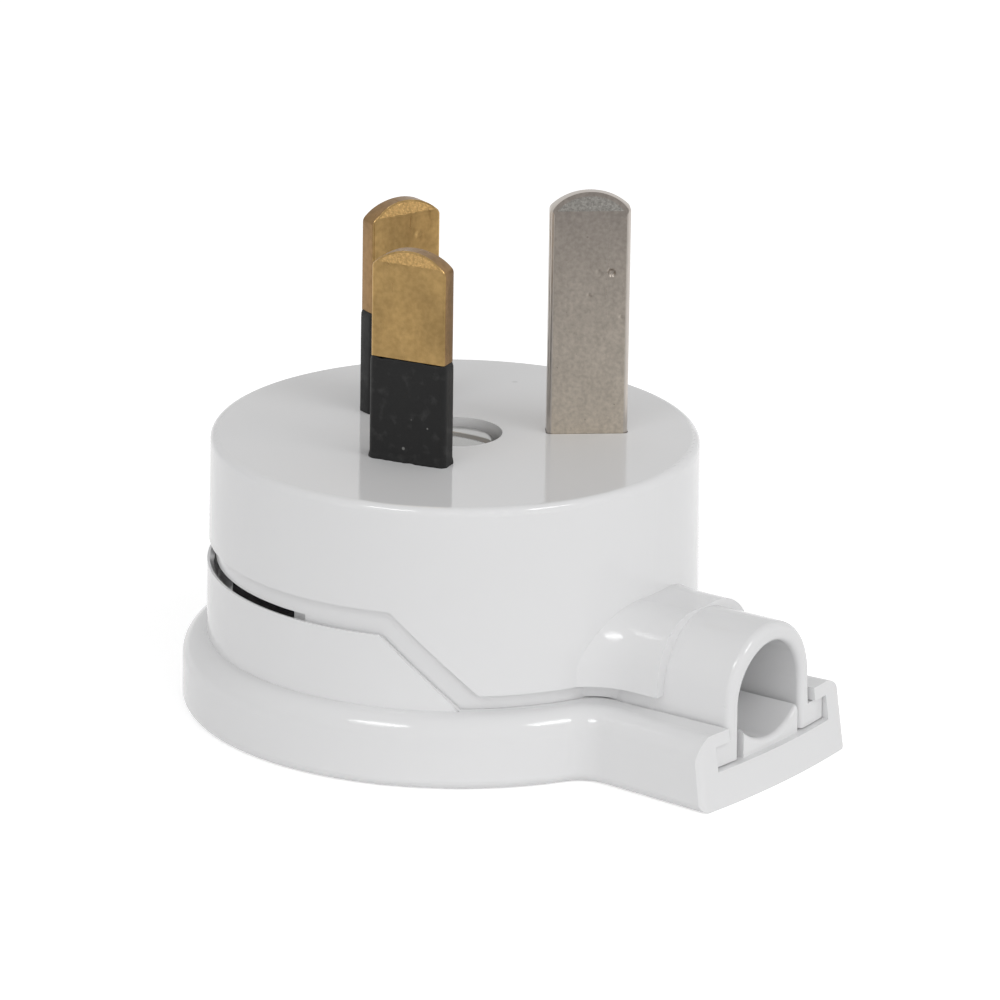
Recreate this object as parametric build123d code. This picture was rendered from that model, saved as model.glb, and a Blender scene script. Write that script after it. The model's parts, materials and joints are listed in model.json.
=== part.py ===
from build123d import *
import math
import os

# A rewirable angled plug with three flat pins. Two white mouldings close on each other along a stepped
# parting line, hook together at the neck and are drawn up by one screw in the middle of the pin face.
# The origin is on the plug's axis in the plane of its back. Z runs out along the pins, and X runs out
# along the neck that the cord leaves by. Bearings are turned from X about Z, in degrees.

# Pins
blade_width = 6.35
blade_thickness = 1.63
blade_edge_round = 0.38
earth_pin_length = 19.64
line_pin_length = 17.06
earth_pin_radius = 10.31
line_pin_radius = 7.92
earth_pin_bearing = 40.0
line_pin_spread = 120.0
tip_crown = 1.35
tip_bevel_length = 1.9
tip_bevel_depth = 0.42
sleeve_length = 8.3
sleeve_wall = 0.4
sleeve_bulge = 0.04
sleeve_edge_round = 0.4
pin_slot_clearance = 0.05

# Pin housing
pin_face_height = 22.2
body_radius = 19.4
body_draft = 0.2
body_edge_round = 0.65
face_thickness = 2.5
skirt_wall = 1.9
lip_inset = 0.65
lip_clearance = 0.05
lip_wall = 1.3
lap_depth = 2.6
rear_slit = 0.32
slit_end = 0.65
slit_stop_length = 1.5
slit_stop_inset = 0.5

# Back cover
flange_overhang = 1.9
flange_height = 5.85
flange_shoulder = 2.0
back_edge_round = 0.8
floor_thickness = 2.2
rim_height = 11.7
rim_edge = 0.55
rim_bevel = 0.35
cover_wall = 2.0

# Parting line: the rim stands high round the back, slants down on both sides and is gone at the neck.
# The housing's outer skin stops short of it, which leaves an inset band between the two.
rim_high_bearing = 71.5
rim_low_bearing = 52.5
skin_high_bearing = 69.0
skin_low_bearing = 48.2
band_high = 1.9
band_low = 1.2

# Neck
neck_length = 10.2
neck_end_curve = 80.0
neck_end_lean = 0.15
arch_end_lean = 0.01
neck_side_wall = 2.4
neck_flare = 0.7
neck_blend = 2.5
neck_corner_round = 0.8
neck_corner_room = 0.02
arch_setback = 1.0
arch_half_width = 5.5
arch_leg_spread = 0.3
arch_height = 12.74
arch_edge_round = 0.6
bore_edge_round = 0.5
arch_side_wall = 1.3
arch_top_wall = 1.54
collar_length = 4.6
collar_step = 0.5
collar_rise = 0.15
collar_blend = 5.5
collar_root_inset = 0.3
collar_shoulder = 4.6
collar_band_inset = 0.87
hook_setback = 0.6
hook_reach = 1.7
hook_bottom = 2.95
hook_lip_thickness = 1.02
lip_top_gap = 0.08
neck_floor_gap = 0.1
cradle_gap = 0.5
cradle_edge_height = 5.1
cradle_low_height = 3.6
cradle_edge_round = 0.4

# Middle screw and its posts
screw_recess_radius = 3.7
screw_recess_depth = 2.6
assembly_screw_radius = 2.0
assembly_head_radius = 3.35
assembly_head_height = 1.9
assembly_screw_gap = 1.0
screw_hole_clearance = 0.2
thread_clearance = 0.05
post_radius = 4.6
post_joint_height = 8.9
post_edge_round = 0.3
insert_radius = 3.1
insert_bottom = 3.4
insert_clearance = 0.02
insert_edge = 0.3
insert_groove_width = 1.0
insert_groove_depth = 0.35
slot_width = 0.9
slot_depth = 0.9
assembly_head_round = 0.8

# Terminals
terminal_cheek = 0.525
terminal_wall = 1.985
terminal_height = 6.5
terminal_edge_round = 0.5
tail_depth = 2.4
tail_clearance = 0.02
wire_hole_radius = 1.6
wire_hole_height = 2.3
terminal_screw_radius = 1.5
terminal_screw_reach = 1.6
terminal_head_radius = 2.5
terminal_head_height = 1.8
terminal_head_gap = 0.9
small_head_round = 0.5
pocket_wall = 1.0
pocket_depth = 3.0
pocket_clearance = 0.15
rib_thickness = 1.2
rib_depth = 6.0

# Cord grip
grip_wall_gap = 0.45
grip_side_room = 2.2
grip_width = 4.4
grip_thickness = 2.4
grip_height = 9.0
grip_arch_radius = 3.9
grip_arch_rise = 0.9
grip_end_radius = 2.3
grip_post_radius = 2.1
grip_screw_radius = 1.2
grip_screw_depth = 4.0
grip_screw_end_gap = 0.4
grip_head_radius = 2.1
grip_head_height = 1.5
grip_hole_clearance = 0.15

# Derived sizes
body_face_radius = body_radius - body_draft
rim_radius = body_radius
flange_radius = body_radius + flange_overhang
neck_end = flange_radius + neck_length
collar_end = body_radius + collar_length
hook_start = collar_end + hook_setback
arch_end = neck_end - arch_setback
skin_low_edge = flange_height + band_low
hook_top = flange_height - hook_lip_thickness - lip_top_gap
arch_foot_half_width = arch_half_width + arch_leg_spread
foot_half_width = arch_foot_half_width + hook_reach
neck_end_half_width = foot_half_width + neck_side_wall
neck_root_half_width = neck_end_half_width - neck_flare
bore_half_width = arch_half_width - arch_side_wall
bore_height = arch_height - arch_top_wall
cradle_half_width = bore_half_width - cradle_gap
terminal_width = blade_width + 2 * terminal_cheek
terminal_depth = blade_thickness + 2 * terminal_wall
pin_face_underside = pin_face_height - face_thickness
lip_radius = rim_radius - lip_inset - lip_clearance
collar_band_start = lip_radius * math.cos(math.radians(rim_low_bearing - 10))
rim_bore = rim_radius - rim_edge
cavity_radius = rim_radius - cover_wall
recess_floor = pin_face_height - screw_recess_depth
terminal_bottom = pin_face_underside - terminal_height
assembly_screw_bottom = insert_bottom + assembly_screw_gap
grip_half_span = bore_half_width + grip_side_room
grip_reach = cavity_radius - grip_wall_gap - grip_end_radius
grip_place = math.sqrt(grip_reach**2 - grip_half_span**2)
reach = 3.0 * flange_radius


def tube(outer, inner, bottom, top):
    """A plain ring between two heights."""
    height = top - bottom
    middle = Pos(0, 0, bottom + height / 2)
    return middle * Cylinder(outer, height) - middle * Cylinder(inner, height)


def rod(radius, bottom, top):
    """A plain cylinder on the Z axis between two heights."""
    return Pos(0, 0, (bottom + top) / 2) * Cylinder(radius, top - bottom)


def block(x_low, x_high, half_width, bottom, top):
    """A box along X that is even about the XZ plane."""
    middle = Pos((x_low + x_high) / 2, 0, (bottom + top) / 2)
    return middle * Box(x_high - x_low, 2 * half_width, top - bottom)


def above_parting(high, low, high_bearing, low_bearing):
    """Everything above a parting line that is high at the back, slants down and is low at the neck."""
    middle_bearing = (high_bearing + low_bearing) / 2
    run = rim_radius * math.sin(math.radians((high_bearing - low_bearing) / 2))
    flat = Plane(origin=(0, 0, 0), x_dir=(0, 1, 0), z_dir=(1, 0, 0))
    profile = Polyline(
        (run, high), (-run, low), (-reach, low), (-reach, reach), (run, reach), close=True
    )
    wedge = extrude(flat * make_face(profile), amount=reach)
    one_side = Rot(Z=middle_bearing) * wedge
    top = block(-reach, reach, reach, high, reach)
    return top + one_side + mirror(one_side, about=Plane.XZ)


def arch_face(half_width, foot_half_width, height, bottom):
    """The upside-down U of the neck, drawn across X, with legs that spread a little downwards."""
    spring = height - half_width
    legs = Polyline(
        (half_width, spring),
        (foot_half_width, bottom),
        (-foot_half_width, bottom),
        (-half_width, spring),
    )
    crown = ThreePointArc((-half_width, spring), (0, height), (half_width, spring))
    return make_face(legs + crown)


def along_neck(face, start, end):
    """A face drawn across X, drawn out along X from start to end."""
    across = Plane(origin=(start, 0, 0), x_dir=(0, 1, 0), z_dir=(1, 0, 0))
    return extrude(across * face, amount=end - start)


def within_neck_end(solid, end, lean):
    """The solid trimmed to the gently curved end of the neck, which may lean back towards the pins."""
    height = pin_face_height
    trim = Cone(neck_end_curve, neck_end_curve - lean * height, height)
    return solid & Pos(end - neck_end_curve, 0, height / 2) * trim


def base_end_trim():
    """What the back cover is kept within: the curved end of its neck, with the corners rounded."""
    nose = block(body_radius, reach, neck_end_half_width + neck_corner_room, 0, pin_face_height)
    nose = within_neck_end(nose, neck_end, neck_end_lean)
    corners = [edge for edge in nose.edges() if edge.center().X > body_radius + 1]
    corners = [edge for edge in corners if edge.length > pin_face_height - 1]
    corners = [edge for edge in corners if abs(edge.center().Y) > neck_end_half_width]
    nose = fillet(corners, neck_corner_round)
    return nose + block(-reach, flange_radius, reach, 0, pin_face_height)


def pin_seat(radius, bearing, turn):
    """Where a pin stands: its blade's width lies along the seat's X."""
    return Rot(Z=bearing) * Pos(radius, 0, 0) * Rot(Z=turn)


earth_seat = pin_seat(earth_pin_radius, earth_pin_bearing, 0)
active_seat = pin_seat(line_pin_radius, earth_pin_bearing - line_pin_spread, 90)
neutral_seat = pin_seat(line_pin_radius, earth_pin_bearing + line_pin_spread, 90)
seats = {"earth": earth_seat, "active": active_seat, "neutral": neutral_seat}


def blade(length):
    """A flat blade with a crowned, bevelled tip, rounded long edges and a tail for its terminal."""
    top = pin_face_height + length
    bottom = pin_face_underside - tail_depth
    half = blade_width / 2
    sides = Polyline((-half, top - tip_crown), (-half, bottom), (half, bottom), (half, top - tip_crown))
    crown = ThreePointArc((half, top - tip_crown), (0, top), (-half, top - tip_crown))
    body = extrude(Plane.XZ * make_face(sides + crown), amount=blade_thickness / 2, both=True)
    body = fillet(body.edges().filter_by(Axis.Z), blade_edge_round)
    face = blade_thickness / 2
    start = top - tip_bevel_length
    end = top + 1
    inset = face - tip_bevel_depth * (end - start) / tip_bevel_length
    wedge = make_face(
        Polyline((face, start), (face + 1, start), (face + 1, end), (inset, end), close=True)
    )
    cut = extrude(Plane.YZ * wedge, amount=blade_width, both=True)
    return body - cut - mirror(cut, about=Plane.XZ)


def sleeve_core():
    """The narrowed length of a line blade that its sleeve is moulded on."""
    bottom = pin_face_underside
    top = pin_face_height + sleeve_length
    height = top - bottom
    middle = Pos(0, 0, bottom + height / 2)
    return middle * Box(blade_width - 2 * sleeve_wall, blade_thickness - 2 * sleeve_wall, height)


def sleeve_outside(extra):
    """The outside of a sleeve, or with some extra all round, the space that it passes through."""
    bottom = pin_face_underside
    top = pin_face_height + sleeve_length
    height = top - bottom
    width = blade_width + 2 * (sleeve_bulge + extra)
    thickness = blade_thickness + 2 * (sleeve_bulge + extra)
    body = Pos(0, 0, bottom + height / 2) * Box(width, thickness, height)
    return fillet(body.edges().filter_by(Axis.Z), sleeve_edge_round)


def line_blade():
    """A line blade, narrowed where its sleeve lies."""
    waist = sleeve_outside(sleeve_wall) - sleeve_core()
    return blade(line_pin_length) - waist


def sleeve():
    """The black insulation round the foot of a line blade."""
    return sleeve_outside(0) - sleeve_core()


def slotted_screw(radius, head_radius, head_height, seat_height, end_height, head_round):
    """A slotted screw whose head rests at seat_height and whose shank runs to end_height."""
    upward = 1 if seat_height > end_height else -1
    head_top = seat_height + upward * head_height
    head = rod(head_radius, min(seat_height, head_top), max(seat_height, head_top))
    rim = head.edges().sort_by(Axis.Z)[-1 if upward > 0 else 0]
    head = fillet(rim, head_round)
    shank = rod(radius, min(seat_height, end_height), max(seat_height, end_height))
    tip = shank.edges().sort_by(Axis.Z)[0 if upward > 0 else -1]
    shank = chamfer(tip, radius / 4)
    slot = Pos(0, 0, head_top) * Box(3 * head_radius, slot_width, 2 * slot_depth)
    return head + shank - slot


def terminal():
    """A brass block with a seat for the blade's tail, a wire hole and a tapped hole from below."""
    middle = Pos(0, 0, terminal_bottom + terminal_height / 2)
    body = middle * Box(terminal_width, terminal_depth, terminal_height)
    body = fillet(body.edges().filter_by(Axis.Z), terminal_edge_round)
    width = blade_width + 2 * tail_clearance
    thickness = blade_thickness + 2 * tail_clearance
    seat = Pos(0, 0, pin_face_underside) * Box(width, thickness, 2 * tail_depth)
    wire_height = terminal_bottom + wire_hole_height
    wire = Pos(0, 0, wire_height) * Rot(X=90) * Cylinder(wire_hole_radius, 2 * terminal_depth)
    tapped = rod(terminal_screw_radius + thread_clearance, terminal_bottom - 1, wire_height)
    return body - seat - wire - tapped


def terminal_screw():
    """The screw that clamps a wire, put in from the back."""
    return slotted_screw(
        terminal_screw_radius,
        terminal_head_radius,
        terminal_head_height,
        terminal_bottom - terminal_head_gap,
        terminal_bottom + terminal_screw_reach,
        small_head_round,
    )


def neck_plan(inset, end):
    """The body and its neck seen from behind, drawn in by an inset, with wide curves in the corners."""
    half_width = arch_foot_half_width + collar_step - inset
    strip = Pos(end / 2, 0) * Rectangle(end, 2 * half_width)
    outline = Circle(body_radius - collar_root_inset - inset) + strip
    corners = [v for v in outline.vertices() if 0 < v.X < body_radius and abs(v.Y) > 1]
    return fillet(corners, collar_blend)


def collar():
    """The collar round the root of the neck, which widens into the body and has rounded shoulders."""
    top = arch_height + collar_rise
    long_end = collar_end + collar_blend
    body = extrude(neck_plan(0, long_end), amount=top)
    shoulders = [
        edge
        for edge in body.edges()
        if edge.bounding_box().min.Z > top - 0.01 and edge.center().X < long_end - 0.5
    ]
    body = fillet(shoulders, collar_shoulder)
    return body & block(0, collar_end, reach, 0, reach)


def collar_band():
    """What carries on the collar's curves under it, drawn in and resting above the back cover."""
    bottom = flange_height + lip_top_gap
    height = skin_low_edge + 1 - bottom
    body = Pos(0, 0, bottom) * extrude(neck_plan(collar_band_inset, collar_end), amount=height)
    front = block(collar_band_start, collar_end, reach, 0, reach)
    return (body & front) - rod(lip_radius - lip_wall, 0, reach)


def housing_skin():
    """The outer form of the pin housing: the drafted round body with the collar."""
    height = pin_face_height
    body = Pos(0, 0, height / 2) * Cone(body_radius, body_face_radius, height)
    body = fillet(body.edges().sort_by(Axis.Z)[-1], body_edge_round)
    return body + collar()


def pin_housing():
    """The moulding that carries the pins: face, skirt, inset lip, posts, pockets, neck and hook feet."""
    skin_line = above_parting(
        rim_height + band_high, skin_low_edge, skin_high_bearing, skin_low_bearing
    )
    skin = housing_skin() & skin_line
    cavity = rod(body_face_radius - skirt_wall, -1, pin_face_underside)
    skin = skin - cavity

    lip = tube(lip_radius, lip_radius - lip_wall, 0, pin_face_underside)
    drop = lap_depth - neck_floor_gap
    lip_line = above_parting(
        rim_height - drop, flange_height - drop, rim_high_bearing, rim_low_bearing
    )
    rear_line = block(-reach, -slit_end, reach, rim_height + rear_slit, reach)
    front_line = lip_line & block(-slit_end, reach, reach, 0, reach)
    stop_radius = lip_radius - slit_stop_inset
    stop = tube(stop_radius, lip_radius - lip_wall, rim_height - drop, rim_height + rear_slit)
    stop = stop & block(-slit_end - slit_stop_length, -slit_end, reach, 0, reach)
    lip = lip & (rear_line + front_line)
    lip = lip + stop

    arch = arch_face(arch_half_width, arch_foot_half_width, arch_height, hook_bottom)
    bore = arch_face(bore_half_width, bore_half_width, bore_height, 0)
    neck = along_neck(arch, lip_radius - lip_wall, neck_end)
    feet = block(hook_start, neck_end, foot_half_width, hook_bottom, hook_top)
    neck = within_neck_end(neck + feet, arch_end, arch_end_lean)
    neck = neck - along_neck(bore, 0, neck_end + 1)
    front = [
        edge
        for edge in neck.edges()
        if edge.center().X > arch_end - 2 and edge.center().Z > hook_top + 0.5
    ]
    outer = [
        edge
        for edge in front
        if max(abs(edge.bounding_box().min.Y), edge.bounding_box().max.Y) > arch_half_width - 0.3
    ]
    neck = fillet(outer, arch_edge_round)
    mouth = [
        edge
        for edge in neck.edges()
        if edge.bounding_box().min.X > arch_end - 1 and edge.bounding_box().max.Z > hook_top + 0.5
    ]
    mouth = [edge for edge in mouth if abs(edge.center().Y) < bore_half_width + 0.1]
    mouth = [edge for edge in mouth if edge.center().Z < bore_height]
    neck = fillet(mouth, bore_edge_round)

    shell = skin + lip + collar_band() + neck
    shell = shell - along_neck(bore, cavity_radius - 4, arch_end - 2)

    post = rod(post_radius, post_joint_height, pin_face_underside)
    rib_outside = body_face_radius - skirt_wall / 2
    rib_shape = Pos(rib_outside / 2, 0, pin_face_underside - rib_depth / 2) * Box(
        rib_outside, rib_thickness, rib_depth
    )
    shell = shell + post
    for bearing in (earth_pin_bearing + 60, earth_pin_bearing + 180, earth_pin_bearing - 60):
        shell = shell + Rot(Z=bearing) * rib_shape
    pocket_width = terminal_width + 2 * (pocket_clearance + pocket_wall)
    pocket_length = terminal_depth + 2 * (pocket_clearance + pocket_wall)
    pocket = Pos(0, 0, pin_face_underside - pocket_depth / 2) * Box(pocket_width, pocket_length, pocket_depth)
    room = Pos(0, 0, pin_face_underside - reach / 2) * Box(
        terminal_width + 2 * pocket_clearance, terminal_depth + 2 * pocket_clearance, reach
    )
    for seat in seats.values():
        shell = shell + seat * pocket
    for seat in seats.values():
        shell = shell - seat * room

    recess = rod(screw_recess_radius, recess_floor, pin_face_height + 1)
    hole = rod(assembly_screw_radius + screw_hole_clearance, 0, pin_face_height)
    shell = shell - recess - hole
    earth_slot = blade_slot()
    line_slot = sleeve_outside(pin_slot_clearance)
    return shell - earth_seat * earth_slot - active_seat * line_slot - neutral_seat * line_slot


def blade_slot():
    """The slot in the pin face that the bare earth blade passes through."""
    width = blade_width + 2 * pin_slot_clearance
    thickness = blade_thickness + 2 * pin_slot_clearance
    slot = Pos(0, 0, pin_face_height) * Box(width, thickness, 4 * face_thickness)
    return fillet(slot.edges().filter_by(Axis.Z), blade_edge_round)


def cover_outline(end):
    """The back cover seen from behind: the round flange with the neck's base running out of it."""
    flare = (neck_end_half_width - neck_root_half_width) / (neck_end - flange_radius)
    end_half_width = neck_end_half_width + flare * (end - neck_end)
    start_half_width = neck_root_half_width - flare * flange_radius
    neck = make_face(
        Polyline(
            (0, start_half_width),
            (0, -start_half_width),
            (end, -end_half_width),
            (end, end_half_width),
            close=True,
        )
    )
    outline = Circle(flange_radius) + neck
    corners = [v for v in outline.vertices() if 0 < v.X < flange_radius and abs(v.Y) > 1]
    return fillet(corners, neck_blend)


def back_cover():
    """The moulding that closes the back: flange, floor, rim wall, neck base, hooks, cradle and posts."""
    long_end = neck_end + 5
    base = extrude(cover_outline(long_end), amount=flange_height)
    upper = [
        edge
        for edge in base.edges()
        if edge.bounding_box().min.Z > flange_height - 0.01 and edge.center().X < long_end - 0.5
    ]
    base = fillet(upper, flange_shoulder)
    lower = [
        edge
        for edge in base.edges()
        if edge.bounding_box().max.Z < 0.01 and edge.center().X < long_end - 0.5
    ]
    base = fillet(lower, back_edge_round)
    base = base & base_end_trim()

    wall = tube(rim_radius, cavity_radius, floor_thickness, rim_height)
    wall = wall - above_parting(rim_height, flange_height, rim_high_bearing, rim_low_bearing)
    base = base + wall
    base = base - rod(cavity_radius, floor_thickness, reach)
    rebate = above_parting(
        rim_height - lap_depth, flange_height - lap_depth, rim_high_bearing, rim_low_bearing
    )
    base = base - (rod(rim_bore, floor_thickness, reach) & rebate)
    bevel = Cone(rim_bore, rim_bore + rim_bevel, rim_bevel)
    base = base - Pos(0, 0, rim_height - rim_bevel / 2) * bevel

    channel_bottom = hook_bottom - neck_floor_gap
    channel = block(cavity_radius - 2, reach, arch_foot_half_width + lip_top_gap, channel_bottom, reach)
    undercut = block(
        hook_start - lip_top_gap,
        reach,
        foot_half_width + lip_top_gap,
        channel_bottom,
        hook_top + lip_top_gap,
    )
    base = base - channel - undercut
    cradle = block(cavity_radius - 3, reach, cradle_half_width, floor_thickness, cradle_edge_height)
    sag = cradle_edge_height - cradle_low_height
    hollow_radius = (cradle_half_width**2 + sag**2) / (2 * sag)
    middle = cradle_low_height + hollow_radius
    hollow = Pos(0, 0, middle) * Rot(Y=90) * Cylinder(hollow_radius, 2 * reach)
    cradle = within_neck_end(cradle - hollow, arch_end, arch_end_lean)
    front = [
        edge
        for edge in cradle.edges()
        if edge.bounding_box().min.X > arch_end - 2 and edge.center().Z > cradle_low_height - 0.1
    ]
    front = [edge for edge in front if abs(edge.center().Y) < cradle_half_width - 0.5]
    cradle = fillet(front, cradle_edge_round)
    base = base + cradle

    post = rod(post_radius, floor_thickness, post_joint_height)
    post = fillet(post.edges().sort_by(Axis.Z)[-1], post_edge_round)
    base = base + post - rod(insert_radius + insert_clearance, insert_bottom, post_joint_height + 1)
    for side in (1, -1):
        place = Pos(grip_place, side * grip_half_span, 0)
        base = base + place * rod(grip_post_radius, floor_thickness, grip_height)
        base = base - place * rod(grip_screw_radius, grip_height - grip_screw_depth, grip_height + 1)
    return base


def threaded_insert():
    """The brass insert that the middle screw threads into."""
    body = rod(insert_radius, insert_bottom, post_joint_height)
    body = chamfer(body.edges(), insert_edge)
    half = insert_groove_width / 2
    groove = tube(insert_radius + 1, insert_radius - insert_groove_depth, -half, half)
    middle = (insert_bottom + post_joint_height) / 2
    return body - Pos(0, 0, middle) * groove - rod(assembly_screw_radius + thread_clearance, 0, reach)


def cord_grip():
    """The bar that presses on the cord, arched over it, with an eye at each end for its screw."""
    middle = Pos(0, 0, grip_height + grip_thickness / 2)
    bar = middle * Box(grip_width, 2 * grip_half_span, grip_thickness)
    middle = grip_height + grip_arch_rise - grip_arch_radius
    arch = Pos(0, 0, middle) * Rot(Y=90) * Cylinder(grip_arch_radius, reach)
    bar = bar - arch
    top = grip_height + grip_thickness
    for side in (1, -1):
        bar = bar + Pos(0, side * grip_half_span, 0) * rod(grip_end_radius, grip_height, top)
    for side in (1, -1):
        hole = rod(grip_screw_radius + grip_hole_clearance, 0, reach)
        bar = bar - Pos(0, side * grip_half_span, 0) * hole
    return Pos(grip_place, 0, 0) * bar


def cord_grip_screw(side):
    """One of the two screws of the cord grip."""
    seat = grip_height + grip_thickness
    end = grip_height - grip_screw_depth + grip_screw_end_gap
    screw = slotted_screw(
        grip_screw_radius, grip_head_radius, grip_head_height, seat, end, small_head_round
    )
    return Pos(grip_place, side * grip_half_span, 0) * screw


parts = {
    "pin_housing": pin_housing(),
    "back_cover": back_cover(),
    "earth_pin": earth_seat * blade(earth_pin_length),
    "active_pin": active_seat * line_blade(),
    "neutral_pin": neutral_seat * line_blade(),
    "active_sleeve": active_seat * sleeve(),
    "neutral_sleeve": neutral_seat * sleeve(),
    "assembly_screw": slotted_screw(
        assembly_screw_radius,
        assembly_head_radius,
        assembly_head_height,
        recess_floor,
        assembly_screw_bottom,
        assembly_head_round,
    ),
    "threaded_insert": threaded_insert(),
    "cord_grip": cord_grip(),
    "cord_grip_screw_left": cord_grip_screw(1),
    "cord_grip_screw_right": cord_grip_screw(-1),
}
for name, seat in seats.items():
    parts[name + "_terminal"] = seat * terminal()
    parts[name + "_terminal_screw"] = seat * terminal_screw()

os.makedirs("parts", exist_ok=True)
for name, solid in parts.items():
    export_step(solid, "parts/" + name + ".step")
    print(name, round(solid.volume, 1))
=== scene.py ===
"""A rewirable angled plug with three flat pins: its finishes, its detailed pieces and its stage."""

import json
import math
import random

import bmesh
import bpy
from mathutils import Matrix, Vector, noise


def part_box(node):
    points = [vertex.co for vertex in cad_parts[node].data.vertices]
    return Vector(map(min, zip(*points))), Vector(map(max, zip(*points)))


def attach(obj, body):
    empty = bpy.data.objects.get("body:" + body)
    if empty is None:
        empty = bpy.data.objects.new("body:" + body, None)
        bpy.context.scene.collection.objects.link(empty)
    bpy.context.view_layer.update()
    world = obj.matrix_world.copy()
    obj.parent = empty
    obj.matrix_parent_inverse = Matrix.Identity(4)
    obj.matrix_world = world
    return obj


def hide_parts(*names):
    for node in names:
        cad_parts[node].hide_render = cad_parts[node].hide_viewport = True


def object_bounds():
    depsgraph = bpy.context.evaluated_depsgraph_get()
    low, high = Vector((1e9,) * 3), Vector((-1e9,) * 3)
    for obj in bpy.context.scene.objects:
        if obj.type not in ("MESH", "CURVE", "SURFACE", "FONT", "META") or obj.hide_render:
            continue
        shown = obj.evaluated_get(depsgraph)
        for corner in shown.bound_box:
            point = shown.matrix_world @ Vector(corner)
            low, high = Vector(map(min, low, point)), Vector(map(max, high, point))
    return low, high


bl_info = {
    "name": "Angled plug",
    "version": (1, 0, 0),
    "blender": (4, 5, 0),
    "location": "3D View > Sidebar > Angled plug",
    "description": "Finishes, metal pieces and stage of a rewirable angled plug",
    "category": "Object",
}

MM = 0.001

# Distances that count as none: for picking faces and edges, and for joining the points of a mesh.
FLAT_RANGE = 0.01 * MM
SAME_PLACE = 0.005 * MM
COPY_MERGE = 0.002 * MM
CUT_MERGE = 0.001 * MM

# Sizes of the noise on the filed tips, on the blades' faces, and along a sleeve's top and foot.
FILED_GRAIN = 0.15 * MM
ROLLED_GRAIN = 1.3 * MM
WAVE_LENGTH = 0.8 * MM
LUMP_LENGTH = 0.5 * MM

# How far a sleeve's wavy top and its swollen foot reach, and the height of a new blade's first block.
TOP_BAND = 0.35 * MM
FOOT_BAND = 0.6 * MM
FOOT_HEIGHT = MM

# Places in a piece's list of materials, after its main one.
SIDES = 1
TIP = 2
# The faces in the middle screw's slot, painted darker as shade.
SLOT_SHADE = 1

# The two soft lights: bearing from the neck and elevation in degrees, aim, distance, size, and the
# spots that show for them in glossy surfaces.
KEY_PLACE = (2.0, 48.0)
FILL_PLACE = (-93.0, 50.0)
LIGHT_AIM = Vector((0.0, 0.0, 15 * MM))
LIGHT_DISTANCE = 1.2
LIGHT_WIDTH = 0.42
LIGHT_HEIGHT = 0.16
GLARE_EDGE = math.radians(12.0)
GLARE_CORE = math.radians(7.0)

# Dents in the blades: across the blade, height above the back, radius and depth, in millimetres.
EARTH_DENTS = (
    (1.7, 35.35, 0.37, 0.27),
    (0.7, 35.35, 0.29, 0.17),
    (0.0, 33.45, 0.27, 0.17),
    (2.55, 31.6, 0.27, 0.16),
)
ACTIVE_DENTS = ((0.9, 33.0, 0.25, 0.04),)
NEUTRAL_DENTS = ((-1.1, 36.4, 0.3, 0.05),)

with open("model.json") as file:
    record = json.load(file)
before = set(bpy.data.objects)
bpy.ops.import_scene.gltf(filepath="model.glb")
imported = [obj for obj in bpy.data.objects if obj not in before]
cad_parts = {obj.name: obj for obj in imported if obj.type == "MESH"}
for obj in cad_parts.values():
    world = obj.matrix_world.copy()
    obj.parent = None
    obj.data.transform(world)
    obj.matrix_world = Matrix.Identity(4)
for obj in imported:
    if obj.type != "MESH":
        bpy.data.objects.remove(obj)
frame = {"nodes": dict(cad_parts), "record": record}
cad_box = [list(corner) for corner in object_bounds()]
mounts = {mount["name"]: mount for mount in frame["record"]["mounts"]}
pin_face_height = mounts["pin_face"]["pos_m"][2]


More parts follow.
